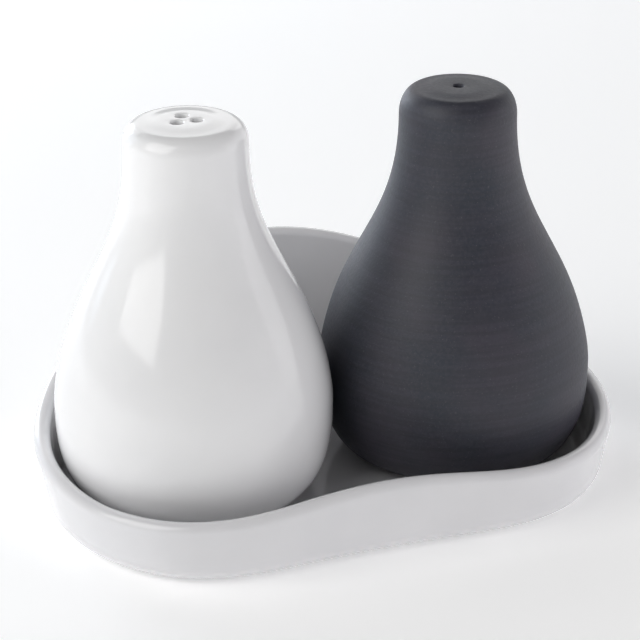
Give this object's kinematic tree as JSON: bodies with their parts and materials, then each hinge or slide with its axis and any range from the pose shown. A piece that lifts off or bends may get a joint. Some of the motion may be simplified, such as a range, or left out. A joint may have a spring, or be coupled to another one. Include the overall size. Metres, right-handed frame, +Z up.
{
  "type": "salt and pepper shakers",
  "caption": "Pear-shaped glazed salt shaker and matte dark pepper shaker with pull-out base stoppers, standing side by side in a glazed tray whose rim sweeps up into an arched back.",
  "frame": {"origin": "middle of the tray's footprint, on the plane that the tray stands on", "axes": "+X runs along the row of shakers from salt to pepper and is the longest extent, +Y points to the arched back of the tray, +Z is up"},
  "size_m": [0.1312, 0.0942, 0.09],
  "materials": {
    "tray_glaze": "glossy white glaze",
    "white_glaze": "glossy white glaze",
    "dark_stoneware": "matte slate-grey unglazed stoneware",
    "stopper": "translucent white silicone"
  },
  "bodies": {
    "tray": {"tray": "tray_glaze"},
    "salt_shaker": {"salt_shaker_body": "white_glaze"},
    "pepper_shaker": {"pepper_shaker_body": "dark_stoneware"},
    "salt_stopper": {"salt_stopper": "stopper"},
    "pepper_stopper": {"pepper_stopper": "stopper"}
  },
  "joints": [
    {"name": "salt_lift", "type": "slide", "parent": "tray", "child": "salt_shaker", "axis": [0, 0, 1], "range_m": [0, 0.1]},
    {"name": "pepper_lift", "type": "slide", "parent": "tray", "child": "pepper_shaker", "axis": [0, 0, 1], "range_m": [0, 0.1]},
    {"name": "salt_stopper_pull", "type": "slide", "parent": "salt_shaker", "child": "salt_stopper", "axis": [0, 0, -1], "range_m": [0, 0.025]},
    {"name": "pepper_stopper_pull", "type": "slide", "parent": "pepper_shaker", "child": "pepper_stopper", "axis": [0, 0, -1], "range_m": [0, 0.025]}
  ],
  "couplings": [
    {"joint": "salt_stopper_pull", "follows": "salt_lift", "ratio": 0.25},
    {"joint": "pepper_stopper_pull", "follows": "pepper_lift", "ratio": 0.25}
  ]
}
